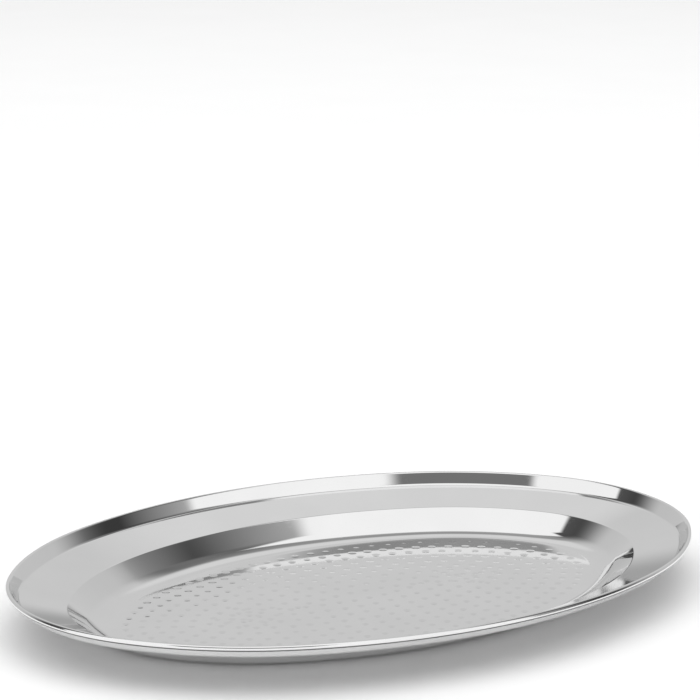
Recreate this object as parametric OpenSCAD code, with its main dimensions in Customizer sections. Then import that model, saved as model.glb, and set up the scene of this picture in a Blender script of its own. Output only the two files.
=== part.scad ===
// Oval serving tray: one pressed sheet with a rolled edge, curled round a hidden rim wire.
// Rests on Z = 0, long axis on X, centre of the oval on the Z axis. Millimetres.

/* [Overall] */
// Longest size, over the rolled edge
length = 450; // [300:1:600]
// Shortest size across, over the rolled edge
width = 318; // [200:1:440]
// Height of the rolled edge above the table
height = 30; // [24:0.5:45]
// Thickness of the sheet
sheet = 0.7; // [0.5:0.1:1.2]

/* [Brim] */
// Height of the upturned outer band, from its inner crease to the top of the rolled edge
band_rise = 7.9; // [5:0.1:12]
// Slope of the upturned band from level
band_slope = 60; // [40:1:70]
// Width of the sloping brim in plan, crease to crease
brim_width = 28.6; // [15:0.1:45]
// Slope of the brim from level
brim_slope = 14.8; // [4:0.1:20]

/* [Well] */
// Slope of the well wall from level
wall_slope = 38; // [28:1:60]

/* [Bends] */
// Inside radius between brim and band
band_bend = 3; // [1:0.1:5]
// Outside radius where the brim turns down into the well
brim_bend = 2.5; // [1.5:0.1:5]
// Inside radius between the well wall and the floor
floor_bend = 25; // [8:0.5:32]

/* [Rolled edge] */
// Diameter of the wire inside the rolled edge
wire_size = 1.7; // [1.2:0.1:3]
// Free space round the wire inside the roll
wire_play = 0.1; // [0.05:0.01:0.3]
// Part of the turn left open under the roll
roll_opening = 75; // [65:1:120]
// Gap between the two cut ends of the wire
wire_gap = 1.5; // [0.5:0.1:4]

/* [Outline] */
// Direction, from the long axis, where the end curve meets the shoulder curve
end_sweep = 36; // [25:1:42]
// Direction, from the long axis, where the shoulder curve meets the side curve
shoulder_sweep = 66; // [55:1:75]

/* [Hidden] */
$fn = 72;

// Outline: end, shoulder and side arcs that meet with a shared tangent and follow an ellipse.
half_length = length / 2;
half_width = width / 2;
mid_sweep = (end_sweep + shoulder_sweep) / 2;
shoulder_r = pow(half_length * half_width, 2)
    / pow(pow(half_length * cos(mid_sweep), 2) + pow(half_width * sin(mid_sweep), 2), 1.5);
left_over_x = half_length - shoulder_r * (cos(end_sweep) - cos(shoulder_sweep));
left_over_y = half_width - shoulder_r * (sin(shoulder_sweep) - sin(end_sweep));
outline_det = (1 - cos(end_sweep)) * (1 - sin(shoulder_sweep))
    - cos(shoulder_sweep) * sin(end_sweep);
end_r = (left_over_x * (1 - sin(shoulder_sweep)) - cos(shoulder_sweep) * left_over_y)
    / outline_det;
side_r = ((1 - cos(end_sweep)) * left_over_y - sin(end_sweep) * left_over_x) / outline_det;
end_c = [half_length - end_r, 0];
shoulder_c = end_c + (end_r - shoulder_r) * heading(end_sweep);
side_c = [0, half_width - side_r];

// Rolled edge.
roll_in = wire_size / 2 + wire_play;
roll_out = roll_in + sheet;
roll_c = [-roll_out, height - roll_out];

// Corners of the upper face, as [outward, up] from the outermost edge.
roll_start = roll_c + roll_out * heading(90 + band_slope);
band_foot_z = height - band_rise;
band_foot = [roll_start[0] - (roll_start[1] - band_foot_z) / tan(band_slope), band_foot_z];
brim_edge = band_foot - [brim_width, brim_width * tan(brim_slope)];
well_foot = [brim_edge[0] - (brim_edge[1] - sheet) / tan(wall_slope), sheet];

// Length each bend takes from the straight runs beside it.
band_bend_run = band_bend * tan((band_slope - brim_slope) / 2);
brim_bend_run = brim_bend * tan((wall_slope - brim_slope) / 2);
floor_bend_run = floor_bend * tan(wall_slope / 2);

floor_start = well_foot - [floor_bend_run, 0];
floor_bend_c = floor_start + [0, floor_bend];
brim_bend_c = brim_edge - brim_bend_run * heading(wall_slope)
    + brim_bend * heading(wall_slope - 90);
band_bend_c = band_foot - band_bend_run * heading(brim_slope)
    + band_bend * heading(brim_slope + 90);

// Straight steps along each bend of the sheet's profile.
floor_bend_steps = 7;
brim_bend_steps = 4;
band_bend_steps = 5;
roll_steps = 20;

// Sides round the wire's section.
wire_sides = 20;

// The swept profile runs this far in over the flat floor, where the floor plate overlaps it.
floor_lap = 6;

// Turn between neighbouring corners of the floor plate's outline.
floor_step = 5;

function heading(a) = [cos(a), sin(a)];
function arc_points(centre, r, from, to, steps) =
    [for (i = [0 : steps]) centre + r * heading(from + (to - from) * i / steps)];
function first_quarter(a) = let (m = a % 180) m > 90 ? 180 - m : m;
function quarter_point(a, inset) =
    a <= end_sweep ? end_c + (end_r - inset) * heading(a)
    : a <= shoulder_sweep ? shoulder_c + (shoulder_r - inset) * heading(a)
    : side_c + (side_r - inset) * heading(a);
function oval_point(a, inset) = let (p = quarter_point(first_quarter(a), inset))
    [p[0] * (a < 90 || a > 270 ? 1 : -1), p[1] * (a < 180 ? 1 : -1)];

// Moves in three steps, whole, thousandths and the rest, so no digits are rounded away and
// neighbouring arcs share one exact joint.
module exact_move(v) {
    whole = [for (x = v) floor(x)];
    part = [for (i = [0 : len(v) - 1]) floor((v[i] - whole[i]) * 1000) / 1000];
    translate(whole) translate(part) translate(v - whole - part) children();
}

// One arc of the outline, with the child shape swept along it.
module arc_sweep(centre, radius, from, turn) {
    exact_move([centre[0], centre[1], 0])
        rotate_extrude(angle = turn, start = from)
            exact_move([radius, 0, 0])
                children();
}

// The child shape, drawn as [outward, up] from the outermost edge, swept round the oval.
module oval_sweep() {
    for (half = [0, 180]) rotate([0, 0, half]) {
        arc_sweep(end_c, end_r, -end_sweep, 2 * end_sweep) children();
        arc_sweep(shoulder_c, shoulder_r, end_sweep, shoulder_sweep - end_sweep) children();
        arc_sweep(side_c, side_r, shoulder_sweep, 180 - 2 * shoulder_sweep) children();
        arc_sweep([-shoulder_c[0], shoulder_c[1]], shoulder_r,
            180 - shoulder_sweep, shoulder_sweep - end_sweep) children();
    }
}

// Upper and lower faces of the sheet, from the floor out to the cut edge under the roll.
function face_path(under) = concat(
    [floor_start - [floor_lap, under]],
    arc_points(floor_bend_c, floor_bend + under, -90, wall_slope - 90, floor_bend_steps),
    arc_points(brim_bend_c, brim_bend - under, 90 + wall_slope, 90 + brim_slope, brim_bend_steps),
    arc_points(band_bend_c, band_bend + under, brim_slope - 90, band_slope - 90, band_bend_steps),
    arc_points(roll_c, roll_out - under, 90 + band_slope, band_slope + roll_opening - 270,
        roll_steps));

module sheet_profile() {
    upper = face_path(0);
    lower = face_path(sheet);
    polygon(concat(upper, [for (i = [len(lower) - 1 : -1 : 0]) lower[i]]));
}

module wire_profile() {
    translate(roll_c) circle(wire_size / 2, $fn = wire_sides);
}

module tray_sheet() {
    color([0.78, 0.79, 0.80]) {
        oval_sweep() sheet_profile();
        linear_extrude(sheet)
            polygon([for (a = [0 : floor_step : 359])
                oval_point(a, floor_lap / 3 - floor_start[0])]);
    }
}

module rim_wire() {
    color([0.55, 0.56, 0.57]) difference() {
        oval_sweep() wire_profile();
        translate([-wire_gap / 2, half_width - 3 * roll_out, height - 3 * roll_out])
            cube([wire_gap, 4 * roll_out, 4 * roll_out]);
    }
}

tray_sheet();
rim_wire();
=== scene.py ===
"""Hammered oval steel serving tray on a pale floor in a soft studio."""
import math
import random

import bpy
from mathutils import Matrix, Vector
from mathutils.geometry import delaunay_2d_cdt


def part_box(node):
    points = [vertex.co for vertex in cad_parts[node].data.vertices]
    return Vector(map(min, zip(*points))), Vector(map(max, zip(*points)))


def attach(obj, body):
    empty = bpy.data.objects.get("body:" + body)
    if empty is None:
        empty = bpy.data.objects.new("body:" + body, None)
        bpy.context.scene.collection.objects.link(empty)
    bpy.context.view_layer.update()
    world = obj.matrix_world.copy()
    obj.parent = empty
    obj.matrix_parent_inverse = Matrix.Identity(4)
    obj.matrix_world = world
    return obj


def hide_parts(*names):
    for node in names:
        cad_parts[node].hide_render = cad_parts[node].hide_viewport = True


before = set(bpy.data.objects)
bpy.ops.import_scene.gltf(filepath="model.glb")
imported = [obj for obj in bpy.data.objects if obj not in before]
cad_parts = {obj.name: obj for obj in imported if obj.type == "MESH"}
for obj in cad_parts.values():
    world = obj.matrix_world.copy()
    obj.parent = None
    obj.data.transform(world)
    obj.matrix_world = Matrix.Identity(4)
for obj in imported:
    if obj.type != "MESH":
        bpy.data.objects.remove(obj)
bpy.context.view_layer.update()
sheet_low, sheet_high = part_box("tray_sheet")

MM = 0.001

# Overall size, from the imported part, in millimetres.
HALF_LENGTH = (sheet_high[0] - sheet_low[0]) / 2 / MM
HALF_WIDTH = (sheet_high[1] - sheet_low[1]) / 2 / MM
HEIGHT = (sheet_high[2] - sheet_low[2]) / MM

# Sheet profile, in millimetres and degrees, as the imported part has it.
SHEET = 0.7
BAND_RISE, BAND_SLOPE, BAND_BEND = 7.9, 60.0, 3.0
BRIM_WIDTH, BRIM_SLOPE, BRIM_BEND = 28.6, 14.8, 2.5
WALL_SLOPE, FLOOR_BEND = 38.0, 25.0
ROLL_IN, ROLL_OPENING = 0.95, 75.0
END_SWEEP, SHOULDER_SWEEP = 36.0, 66.0

# Steps of the swept mesh: round the oval, and along each bend of the upper and lower face.
OVAL_STEPS = 560
UPPER_STEPS = (16, 8, 10, 30)
LOWER_STEPS = (10, 4, 5, 14)

# Painted shade: the roll's outer face gets a dark base colour underneath, standing in for the
# shadow below the roll, where its normal points lower than this.
PAINTED_ROLL_SHADE_FROM = -0.3

# Hammer marks: rows that follow the outline, in millimetres. The first row is ROW_START in from
# the edge of the floor, and the gaps between the rows grow inwards. Every other row is shifted,
# so that its marks lie between those of the last one.
ROW_START, ROW_PITCH, ROW_GROWTH, ROWS = 7.5, 9.2, 0.14, 9
ROW_STEPS, ROW_SHIFTS = 1440, (0.25, 0.75)
MARK_PITCH, MARK_JITTER, MARK_SEED = 10.8, 0.45, 11
MARK_RADIUS, MARK_DEPTH = (2.8, 3.4), (0.10, 0.15)
MARK_SHAPE, MARK_TURN = 1.5, 60

# Rings of mesh points in a mark: share of its radius, number of points.
MARK_RINGS = ((0.25, 6), (0.5, 10), (0.75, 12), (1.0, 14))

# The floor's underside is lifted, from LIFT_RUN in, so that the marks that show through it,
# with UNDER_SHARE of their depth, stay above the table.
UNDER_LIFT, UNDER_SHARE, LIFT_RUN = 0.14, 0.5, 3.5

# Output type and tolerance of the floor's triangulation: only what lies inside its edge.
INSIDE_ONLY, WELD = 1, 1e-5

# Levels of base colour, and roughness: the polish goes from clean to hazy, and wipe marks and
# the underside add to it.
# The dark level for the underside of the roll is painted shade, standing in for the shadow below
# the roll.
STEEL_LEVELS, PAINTED_DENT_SHADE_LEVEL, PAINTED_ROLL_SHADE_LEVEL = (0.80, 0.83), 0.755, 0.16
POLISH, WIPED, UNDERSIDE_DULL = (0.035, 0.06), 0.03, 0.12
WIRE_COLOURS = (0.55, 0.56, 0.57, 1), (0.36, 0.35, 0.34, 1)
WIRE_ROUGHNESS = (0.32, 0.5)
PAINT_LEVELS, PAINT_ROUGHNESS, PAINT_SPECULAR = (0.88, 0.90), 0.8, 0.2

# Camera and the point its axis passes through, in metres, and its lens, in millimetres.
CAMERA_AT = Vector((-0.84492, -1.31603, 0.51008))
AIM_AT = Vector((0.01611, 0.03680, 0.14544))
LENS = 137.7


def heading(degrees):
    return math.cos(math.radians(degrees)), math.sin(math.radians(degrees))


def outline_arcs():
    """Radius and centre of the end, shoulder and side arcs of the outermost edge."""
    mid_x, mid_y = heading((END_SWEEP + SHOULDER_SWEEP) / 2)
    shoulder = (HALF_LENGTH * HALF_WIDTH) ** 2 / math.hypot(
        HALF_LENGTH * mid_x, HALF_WIDTH * mid_y) ** 3
    end_x, end_y = heading(END_SWEEP)
    side_x, side_y = heading(SHOULDER_SWEEP)
    over_x = HALF_LENGTH - shoulder * (end_x - side_x)
    over_y = HALF_WIDTH - shoulder * (side_y - end_y)
    det = (1 - end_x) * (1 - side_y) - side_x * end_y
    end = (over_x * (1 - side_y) - side_x * over_y) / det
    side = ((1 - end_x) * over_y - end_y * over_x) / det
    return ((end, HALF_LENGTH - end, 0.0),
            (shoulder, HALF_LENGTH - end + (end - shoulder) * end_x, (end - shoulder) * end_y),
            (side, 0.0, HALF_WIDTH - side))


ARCS = outline_arcs()


def oval_point(degrees, inset):
    """Point of the outline where its normal has that direction, moved in by inset."""
    x, y = heading(degrees)
    first = math.degrees(math.atan2(abs(y), abs(x)))
    arc = 0 if first <= END_SWEEP else 1 if first <= SHOULDER_SWEEP else 2
    radius, centre_x, centre_y = ARCS[arc]
    return (math.copysign(centre_x + (radius - inset) * abs(x), x),
            math.copysign(centre_y + (radius - inset) * abs(y), y))


def face_path(under, steps):
    """[outward, up, normal out, normal up] along one face of the sheet, floor to cut edge."""
    outer = ROLL_IN + SHEET
    roll_c = (-outer, HEIGHT - outer)
    wall_x, wall_y = heading(WALL_SLOPE)
    brim_x, brim_y = heading(BRIM_SLOPE)
    band_x, band_y = heading(BAND_SLOPE)
    foot_z = HEIGHT - BAND_RISE
    start = (roll_c[0] - outer * band_y, roll_c[1] + outer * band_x)
    foot = (start[0] - (start[1] - foot_z) * band_x / band_y, foot_z)
    edge = (foot[0] - BRIM_WIDTH, foot[1] - BRIM_WIDTH * brim_y / brim_x)
    well = edge[0] - (edge[1] - SHEET) * wall_x / wall_y
    band_run = BAND_BEND * math.tan(math.radians(BAND_SLOPE - BRIM_SLOPE) / 2)
    brim_run = BRIM_BEND * math.tan(math.radians(WALL_SLOPE - BRIM_SLOPE) / 2)
    floor_run = FLOOR_BEND * math.tan(math.radians(WALL_SLOPE) / 2)
    bends = (
        ((well - floor_run, SHEET + FLOOR_BEND), FLOOR_BEND, -1, -90, WALL_SLOPE - 90),
        ((edge[0] - brim_run * wall_x + BRIM_BEND * wall_y,
          edge[1] - brim_run * wall_y - BRIM_BEND * wall_x),
         BRIM_BEND, 1, 90 + WALL_SLOPE, 90 + BRIM_SLOPE),
        ((foot[0] - band_run * brim_x - BAND_BEND * brim_y,
          foot[1] - band_run * brim_y + BAND_BEND * brim_x),
         BAND_BEND, -1, BRIM_SLOPE - 90, BAND_SLOPE - 90),
        (roll_c, outer, 1, 90 + BAND_SLOPE, BAND_SLOPE + ROLL_OPENING - 270))
    flip = -1 if under else 1
    path = []
    for (centre, radius, side, first, last), count in zip(bends, steps):
        radius -= side * under
        for k in range(count + 1):
            x, y = heading(first + (last - first) * k / count)
            path.append((centre[0] + radius * x, centre[1] + radius * y,
                         flip * side * x, flip * side * y))
    return path


UPPER = face_path(0.0, UPPER_STEPS)
LOWER = face_path(SHEET, LOWER_STEPS)
PROFILE = UPPER + LOWER[::-1]
FLOOR_INSET = -UPPER[0][0]


def row_centres(inset, shift):
    """Evenly spaced places along one row; shift moves them, as a share of their spacing."""
    points = [oval_point((k + 0.5) * 360 / ROW_STEPS, inset) for k in range(ROW_STEPS)]
    points.append(points[0])
    travel = [0.0]
    for a, b in zip(points, points[1:]):
        travel.append(travel[-1] + math.dist(a, b))
    count = max(1, round(travel[-1] / MARK_PITCH))
    places, at = [], 0
    for k in range(count):
        goal = (k + shift) * travel[-1] / count
        while travel[at + 1] < goal:
            at += 1
        part = (goal - travel[at]) / (travel[at + 1] - travel[at])
        places.append([a + (b - a) * part for a, b in zip(points[at], points[at + 1])])
    return places


def floor_points():
    """Every point inside the floor, as [x, y, upper height, lower height, slope x, slope y,
    dent]; dent goes from 1 in the middle of a mark to 0 outside it."""
    draw = random.Random(MARK_SEED)
    points = []
    for k in range(OVAL_STEPS):
        x, y = oval_point(k * 360 / OVAL_STEPS, FLOOR_INSET + LIFT_RUN)
        points.append((x, y, 0.0, UNDER_LIFT, 0.0, 0.0, 0.0))
    for row in range(ROWS):
        inset = FLOOR_INSET + ROW_START + row * ROW_PITCH + row ** 2 * ROW_GROWTH
        for x, y in row_centres(inset, ROW_SHIFTS[row % 2]):
            x += draw.uniform(-MARK_JITTER, MARK_JITTER)
            y += draw.uniform(-MARK_JITTER, MARK_JITTER)
            radius, depth = draw.uniform(*MARK_RADIUS), draw.uniform(*MARK_DEPTH)
            turn = draw.uniform(0, MARK_TURN)
            points.append((x, y, -depth, UNDER_LIFT - UNDER_SHARE * depth, 0.0, 0.0, 1.0))
            for part, count in MARK_RINGS:
                left = 1 - part * part
                drop = depth * left ** MARK_SHAPE
                slope = 2 * MARK_SHAPE * depth * part / radius * left ** (MARK_SHAPE - 1)
                for k in range(count):
                    c, s = heading(turn + k * 360 / count)
                    points.append((x + part * radius * c, y + part * radius * s, -drop,
                                   UNDER_LIFT - UNDER_SHARE * drop, slope * c, slope * s, left))
    return points


class Sheet:
    """Points of the closed mesh, with the normal at each, the finish, and the masks of painted
    shade in the hammer marks and under the roll.
    """

    def __init__(self):
        self.places, self.normals = [], []
        self.finish_and_shade = {"underside": [], "crease": [], "dent": []}

    def add(self, place, normal, underside=0.0, crease=0.0, dent=0.0):
        self.places.append(place)
        self.normals.append(normal)
        for values, value in zip(self.finish_and_shade.values(), (underside, crease, dent)):
            values.append(value)
        return len(self.places) - 1


def sweep_profile(sheet):
    """Add the points of the wall, brim, band and roll, and give their faces."""
    roll_from = len(UPPER) - UPPER_STEPS[-1] - 1
    for k in range(OVAL_STEPS):
        turn = k * 360 / OVAL_STEPS
        c, s = heading(turn)
        for j, (out, up, n_out, n_up) in enumerate(PROFILE):
            x, y = oval_point(turn, -out)
            in_painted_roll_shade = roll_from < j < len(UPPER) and n_up < PAINTED_ROLL_SHADE_FROM
            sheet.add((x, y, up), (n_out * c, n_out * s, n_up),
                      underside=float(j >= len(UPPER)), crease=float(in_painted_roll_shade))
    width = len(PROFILE)
    faces = []
    for k in range(OVAL_STEPS):
        here, there = k * width, (k + 1) % OVAL_STEPS * width
        for j in range(width - 1):
            faces.append((here + j, here + j + 1, there + j + 1, there + j))
    return faces


def fill_floor(sheet):
    """Add the points of the hammered floor, inside the profile, and give its faces."""
    width = len(PROFILE)
    inner = floor_points()
    flat = [Vector(sheet.places[k * width][:2]) for k in range(OVAL_STEPS)]
    flat += [Vector(point[:2]) for point in inner]
    edge = list(range(OVAL_STEPS))
    _, _, cells, origin, _, _ = delaunay_2d_cdt(flat, [], [edge], INSIDE_ONLY, WELD)
    upper, lower = [], []
    for source, *_ in origin:
        if source < OVAL_STEPS:
            upper.append(source * width)
            lower.append(source * width + width - 1)
            continue
        x, y, top, bottom, slope_x, slope_y, dent = inner[source - OVAL_STEPS]
        normal = Vector((-slope_x, -slope_y, 1)).normalized()
        upper.append(sheet.add((x, y, SHEET + top), tuple(normal), dent=dent))
        normal = Vector((UNDER_SHARE * slope_x, UNDER_SHARE * slope_y, -1)).normalized()
        lower.append(sheet.add((x, y, bottom), tuple(normal), underside=1.0))
    faces = []
    for cell in cells:
        faces.append(tuple(upper[k] for k in cell))
        faces.append(tuple(lower[k] for k in reversed(cell)))
    return faces


def tray_mesh():
    """The whole sheet as one closed mesh: the swept wall, brim, band and roll, and the floor."""
    sheet = Sheet()
    faces = sweep_profile(sheet) + fill_floor(sheet)
    mesh = bpy.data.meshes.new("steel_tray")
    mesh.from_pydata([tuple(v * MM for v in place) for place in sheet.places], [], faces)
    mesh.polygons.foreach_set("use_smooth", [True] * len(mesh.polygons))
    for name, values in sheet.finish_and_shade.items():
        mesh.attributes.new(name, "FLOAT", "POINT").data.foreach_set("value", values)
    mesh.update()
    mesh.normals_split_custom_set_from_vertices(sheet.normals)
    return mesh


class Nodes:
    """Short ways to add and join shader nodes."""

    def __init__(self, tree):
        self.tree = tree

    def add(self, kind, **values):
        node = self.tree.nodes.new(kind)
        for name, value in values.items():
            setattr(node, name, value)
        return node

    def feed(self, socket, value):
        if isinstance(value, bpy.types.NodeSocket):
            self.tree.links.new(value, socket)
        else:
            socket.default_value = value

    def math(self, operation, a, b=0.0):
        node = self.add("ShaderNodeMath", operation=operation)
        self.feed(node.inputs[0], a)
        self.feed(node.inputs[1], b)
        return node.outputs[0]

    def dot(self, a, b):
        node = self.add("ShaderNodeVectorMath", operation="DOT_PRODUCT")
        self.feed(node.inputs[0], a)
        self.feed(node.inputs[1], b)
        return node.outputs["Value"]

    def remap(self, value, low, high, to_low=0.0, to_high=1.0, smooth=True):
        node = self.add("ShaderNodeMapRange",
                        interpolation_type="SMOOTHSTEP" if smooth else "LINEAR")
        for name, part in (("Value", value), ("From Min", low), ("From Max", high),
                           ("To Min", to_low), ("To Max", to_high)):
            self.feed(node.inputs[name], part)
        return node.outputs["Result"]

    def mix(self, factor, a, b, kind="FLOAT"):
        node = self.add("ShaderNodeMix", data_type=kind)
        for name, value in (("Factor", factor), ("A", a), ("B", b)):
            self.feed(node.inputs[name], value)
        return node.outputs["Result"]

    def noise(self, vector, scale, detail, stretch=(1, 1, 1)):
        scaled = self.add("ShaderNodeVectorMath", operation="MULTIPLY")
        self.feed(scaled.inputs[0], vector)
        scaled.inputs[1].default_value = stretch
        node = self.add("ShaderNodeTexNoise")
        self.feed(node.inputs["Vector"], scaled.outputs[0])
        node.inputs["Scale"].default_value = scale
        node.inputs["Detail"].default_value = detail
        return node.outputs["Fac"]

    def finish_and_shade(self, name):
        """A value that the sheet's mesh carries at each point."""
        return self.add("ShaderNodeAttribute", attribute_name=name).outputs["Fac"]

    def bump(self, shader, height, strength, distance):
        node = self.add("ShaderNodeBump")
        node.inputs["Strength"].default_value = strength
        node.inputs["Distance"].default_value = distance
        self.feed(node.inputs["Height"], height)
        self.feed(shader.inputs["Normal"], node.outputs["Normal"])


def grey(level):
    return level, level, level, 1


def new_material(name):
    material = bpy.data.materials.new(name)
    material.use_nodes = True
    material.node_tree.nodes.clear()
    nodes = Nodes(material.node_tree)
    shader = nodes.add("ShaderNodeBsdfPrincipled")
    out = nodes.add("ShaderNodeOutputMaterial")
    nodes.feed(out.inputs["Surface"], shader.outputs["BSDF"])
    place = nodes.add("ShaderNodeTexCoord").outputs["Object"]
    return material, nodes, shader, place


def polished_steel():
    """Mirror-polished stainless steel: fine wipe marks, a faint haze, a satin underside, and
    painted shade in the hammer marks and under the roll.
    """
    material, nodes, shader, place = new_material("polished stainless steel")
    shader.inputs["Metallic"].default_value = 1.0
    haze = nodes.noise(place, scale=22.0, detail=4.0)
    wipe = nodes.noise(place, scale=260.0, detail=2.0, stretch=(1.0, 0.06, 1.0))
    cross = nodes.noise(place, scale=240.0, detail=2.0, stretch=(0.07, 1.0, 1.0))
    marks = nodes.math("MULTIPLY", wipe, cross)
    under = nodes.math("MULTIPLY", nodes.finish_and_shade("underside"), UNDERSIDE_DULL)
    rough = nodes.remap(haze, 0.35, 0.7, *POLISH)
    rough = nodes.math("ADD", rough, nodes.remap(marks, 0.25, 0.42, 0.0, WIPED))
    nodes.feed(shader.inputs["Roughness"], nodes.math("ADD", rough, under))
    clean, hazy = STEEL_LEVELS
    tint = nodes.mix(nodes.remap(haze, 0.3, 0.75), grey(clean), grey(hazy), "RGBA")
    # Painted shade: the hammer marks get a darker base colour towards their middle.
    dent = nodes.remap(nodes.finish_and_shade("dent"), 0.2, 0.9)
    tint = nodes.mix(dent, tint, grey(PAINTED_DENT_SHADE_LEVEL), "RGBA")
    # Painted shade: a dark base colour on the underside of the roll, standing in for its shadow.
    tint = nodes.mix(nodes.finish_and_shade("crease"), tint, grey(PAINTED_ROLL_SHADE_LEVEL), "RGBA")
    nodes.feed(shader.inputs["Base Color"], tint)
    nodes.bump(shader, marks, strength=0.05, distance=0.00002)
    return material


def wire_steel():
    """Drawn steel wire: dull, with streaks and slight dark scale."""
    material, nodes, shader, place = new_material("drawn steel wire")
    shader.inputs["Metallic"].default_value = 1.0
    scale = nodes.noise(place, scale=900.0, detail=4.0)
    streaks = nodes.noise(place, scale=1500.0, detail=2.0, stretch=(1.0, 1.0, 0.2))
    nodes.feed(shader.inputs["Roughness"], nodes.remap(scale, 0.3, 0.7, *WIRE_ROUGHNESS))
    tint = nodes.mix(nodes.remap(scale, 0.45, 0.75), *WIRE_COLOURS, "RGBA")
    nodes.feed(shader.inputs["Base Color"], tint)
    nodes.bump(shader, streaks, strength=0.3, distance=0.0001)
    return material


def floor_paint():
    """Matt pale studio floor with a barely seen mottle."""
    material, nodes, shader, place = new_material("pale floor")
    low, high = PAINT_LEVELS
    mottle = nodes.noise(place, scale=6.0, detail=3.0)
    nodes.feed(shader.inputs["Base Color"], nodes.mix(mottle, grey(low), grey(high), "RGBA"))
    shader.inputs["Roughness"].default_value = PAINT_ROUGHNESS
    shader.inputs["Specular IOR Level"].default_value = PAINT_SPECULAR
    return material


def studio_floor(material):
    mesh = bpy.data.meshes.new("studio_floor")
    corners = [(x * FLOOR_REACH, y * FLOOR_REACH, 0)
               for x, y in ((-1, -1), (1, -1), (1, 1), (-1, 1))]
    mesh.from_pydata(corners, [], [(0, 1, 2, 3)])
    mesh.materials.append(material)
    floor = bpy.data.objects.new("studio_floor", mesh)
    bpy.context.scene.collection.objects.link(floor)


# The studio round the tray, as seen from it: x to the right of the camera's view, y ahead of
# the camera, z up. Levels are brightness. BACK_WALL is the level of the gap above the back
# wall, and of the wall. One fades into the other where y - BACK_WALL_LEAN * z of the
# direction looked in goes through BACK_WALL_FADE.
FACING = math.atan2(AIM_AT.x - CAMERA_AT.x, AIM_AT.y - CAMERA_AT.y)
BACK_WALL, BACK_WALL_LEAN, BACK_WALL_FADE = (0.06, 0.77), 0.36, (0.04, 0.50)

# The softbox fills what lies inside either set of edges. An edge is the outward normal of a
# plane through the tray.
SOFTBOX = 1.34
SOFTBOX_EDGES = ((0.33, 0.91, -0.27), (-0.182, 0.924, -0.336))
OVERHEAD_EDGES = ((0, 0.894, -0.447), (0.917, 0, -0.399), (-0.93, 0, -0.37))
SOFTBOX_SOFT = (0.02, -0.03)

# Light that spills past the softbox's edges: its level at the left and at the right, how far
# to each side that change runs, and how far past the edge it reaches.
SPILL, SPILL_SIDES, SPILL_REACH = (0.06, 0.50), 0.3, 0.30

# Smaller panels: (bearing, elevation, half width, half height, soft edge, level), in degrees.
# Bearings run clockwise from the way the camera faces. The softbox lies over PANELS, and
# FRONT_PANEL over the softbox.
PANELS = (
    (0, 25, 24, 26, 18, 0.84),
    (27, 50, 15, 7, 8, 0.22),
    (0, 58, 16, 9, 14, 0.42),
    (0, 43, 15, 8, 7, 0.97),
    (0, 3, 14, 8, 8, 0.50),
)
FRONT_PANEL = (183.5, 43, 21.5, 16, 4, 0.25)
LEAST_AHEAD = 0.001               # keeps a panel out of the directions behind it

# Lamp overhead and the half width of the floor, in metres and watts.
KEY_SIZE, KEY_HEIGHT, KEY_POWER = 8.0, 4.0, 170.0
FLOOR_REACH = 12.0


def studio_axis(x, y, z):
    """A direction given as right of, ahead of and above the camera's heading."""
    return Vector((x * math.cos(FACING) + y * math.sin(FACING),
                   y * math.cos(FACING) - x * math.sin(FACING), z))


def direction(bearing, elevation):
    """A direction given in degrees, as the panels are."""
    turn, rise = math.radians(bearing), math.radians(elevation)
    return studio_axis(math.sin(turn) * math.cos(rise), math.cos(turn) * math.cos(rise),
                       math.sin(rise))


def panel(nodes, ray, light, bearing, elevation, half_width, half_height, soft, level):
    """Light with one soft-edged rectangular panel in it, seen in that direction."""
    facing = direction(bearing, elevation)
    across = direction(bearing + 90, 0)
    upward = across.cross(facing)
    ahead = nodes.math("MAXIMUM", nodes.dot(ray, facing), LEAST_AHEAD)
    mask = None
    for axis, half in ((across, half_width), (upward, half_height)):
        off = nodes.math("DIVIDE", nodes.dot(ray, axis), ahead)
        off = nodes.math("MULTIPLY", nodes.math("ARCTANGENT", nodes.math("ABSOLUTE", off)),
                         180 / math.pi)
        part = nodes.remap(off, half - soft / 2, half + soft / 2, 1.0, 0.0)
        mask = part if mask is None else nodes.math("MULTIPLY", mask, part)
    return nodes.mix(mask, light, level)


def beyond(nodes, ray, edges):
    """How far a direction lies past the edge it is furthest past; below zero is inside all."""
    furthest = None
    for side in edges:
        off = nodes.dot(ray, studio_axis(*side))
        furthest = off if furthest is None else nodes.math("MAXIMUM", furthest, off)
    return furthest


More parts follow.
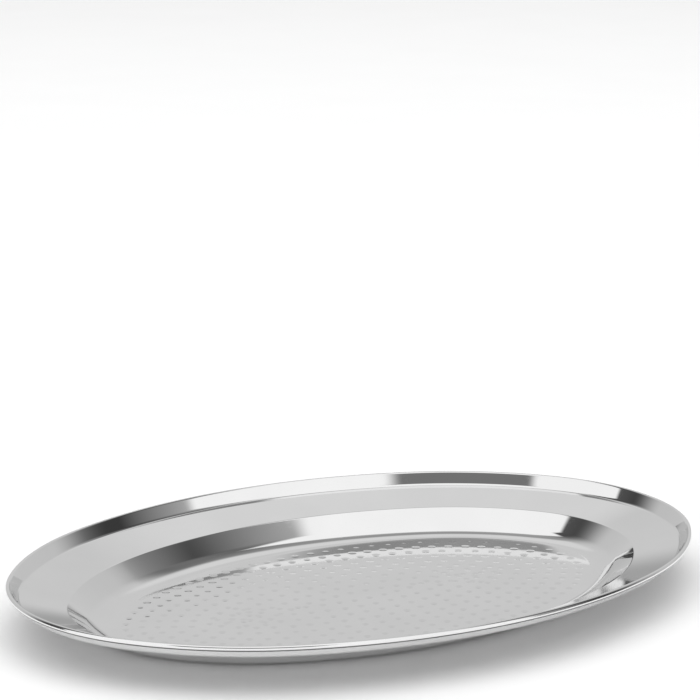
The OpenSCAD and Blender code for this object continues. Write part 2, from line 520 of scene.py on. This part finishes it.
def studio_levels(nodes, ray):
    """A pale back wall, a dark gap above it, a wide softbox overhead and behind."""
    wall = nodes.dot(ray, studio_axis(0, 1, -BACK_WALL_LEAN))
    light = nodes.remap(wall, *BACK_WALL_FADE, *BACK_WALL)
    for values in PANELS:
        light = panel(nodes, ray, light, *values)
    edge = beyond(nodes, ray, SOFTBOX_EDGES)
    right = nodes.dot(ray, studio_axis(1, 0, 0))
    spill = nodes.remap(right, -SPILL_SIDES, SPILL_SIDES, *SPILL)
    near = nodes.remap(edge, SPILL_REACH, 0.0, smooth=False)
    light = nodes.math("ADD", light, nodes.math("MULTIPLY", spill, near))
    edge = nodes.math("MINIMUM", edge, beyond(nodes, ray, OVERHEAD_EDGES))
    light = nodes.mix(nodes.remap(edge, *SOFTBOX_SOFT), light, SOFTBOX)
    return panel(nodes, ray, light, *FRONT_PANEL)


def studio_world():
    world = bpy.data.worlds.new("studio")
    bpy.context.scene.world = world
    world.use_nodes = True
    world.node_tree.nodes.clear()
    nodes = Nodes(world.node_tree)
    ray = nodes.add("ShaderNodeTexCoord").outputs["Generated"]
    back = nodes.add("ShaderNodeBackground")
    nodes.feed(back.inputs["Strength"], studio_levels(nodes, ray))
    out = nodes.add("ShaderNodeOutputWorld")
    nodes.feed(out.inputs["Surface"], back.outputs["Background"])


def overhead_lamp():
    """Whitens the floor, and isn't mirrored in the tray."""
    data = bpy.data.lights.new("overhead", "AREA")
    data.size, data.energy = KEY_SIZE, KEY_POWER
    lamp = bpy.data.objects.new("overhead", data)
    lamp.location = (0, 0, KEY_HEIGHT)
    lamp.visible_glossy = False
    bpy.context.scene.collection.objects.link(lamp)


def studio_camera():
    data = bpy.data.cameras.new("camera")
    data.lens = LENS
    camera = bpy.data.objects.new("camera", data)
    camera.location = CAMERA_AT
    camera.rotation_euler = (AIM_AT - CAMERA_AT).to_track_quat("-Z", "Y").to_euler()
    bpy.context.scene.collection.objects.link(camera)
    bpy.context.scene.camera = camera


studio_camera()
studio_world()
overhead_lamp()
studio_floor(floor_paint())
bpy.context.scene.view_settings.view_transform = "Standard"

tray = bpy.data.objects.new("steel_tray", tray_mesh())
tray.data.materials.append(polished_steel())
bpy.context.scene.collection.objects.link(tray)
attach(tray, "root")
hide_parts("tray_sheet")

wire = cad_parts["rim_wire"]
wire.data.materials.clear()
wire.data.materials.append(wire_steel())
